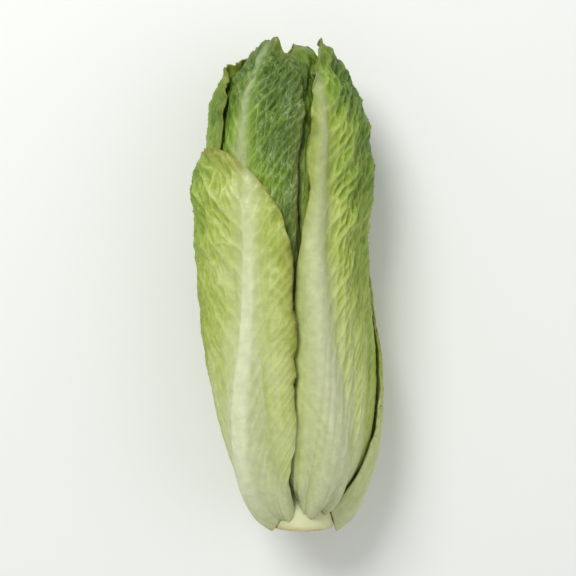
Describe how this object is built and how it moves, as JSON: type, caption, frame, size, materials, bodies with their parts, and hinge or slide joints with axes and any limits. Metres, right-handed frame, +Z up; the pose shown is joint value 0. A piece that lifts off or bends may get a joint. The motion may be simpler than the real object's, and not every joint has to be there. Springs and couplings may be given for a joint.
{
  "type": "little gem lettuce",
  "caption": "Small elongated lettuce head lying on its side, with pale ribbed leaves wrapped tightly round a cut stem and darker crinkled tips.",
  "frame": {"origin": "under the middle of the lying head, on the surface it lies on", "axes": "+Y along the head from the cut stem to the leaf tips, +Z up, +X to the right as seen from above with the tips at the top"},
  "size_m": [0.0646, 0.1702, 0.0583],
  "materials": {
    "leaf_01": "fresh leaf, soft sheen",
    "leaf_02": "fresh leaf, soft sheen",
    "leaf_03": "fresh leaf, soft sheen",
    "leaf_04": "fresh leaf, soft sheen",
    "leaf_05": "fresh leaf, soft sheen",
    "leaf_06": "fresh leaf, soft sheen",
    "leaf_07": "fresh leaf, soft sheen",
    "leaf_08": "fresh leaf, soft sheen",
    "leaf_09": "tender inner leaf, soft sheen",
    "leaf_10": "tender inner leaf, soft sheen",
    "leaf_11": "tender inner leaf, soft sheen",
    "leaf_12": "tender inner leaf, soft sheen",
    "leaf_13": "tender inner leaf, soft sheen",
    "leaf_14": "tender inner leaf, soft sheen",
    "leaf_15": "tender inner leaf, soft sheen",
    "leaf_16": "tender inner leaf, soft sheen",
    "leaf_17": "tender inner leaf, soft sheen",
    "heart": "pale folded young leaves",
    "stem": "moist cut stem, matt"
  },
  "bodies": {
    "root": {"leaf_01": "leaf_01", "leaf_02": "leaf_02", "leaf_03": "leaf_03", "leaf_04": "leaf_04", "leaf_05": "leaf_05", "leaf_06": "leaf_06", "leaf_07": "leaf_07", "leaf_08": "leaf_08", "leaf_09": "leaf_09", "leaf_10": "leaf_10", "leaf_11": "leaf_11", "leaf_12": "leaf_12", "leaf_13": "leaf_13", "leaf_14": "leaf_14", "leaf_15": "leaf_15", "leaf_16": "leaf_16", "leaf_17": "leaf_17", "heart": "heart", "stem": "stem"}
  },
  "joints": []
}
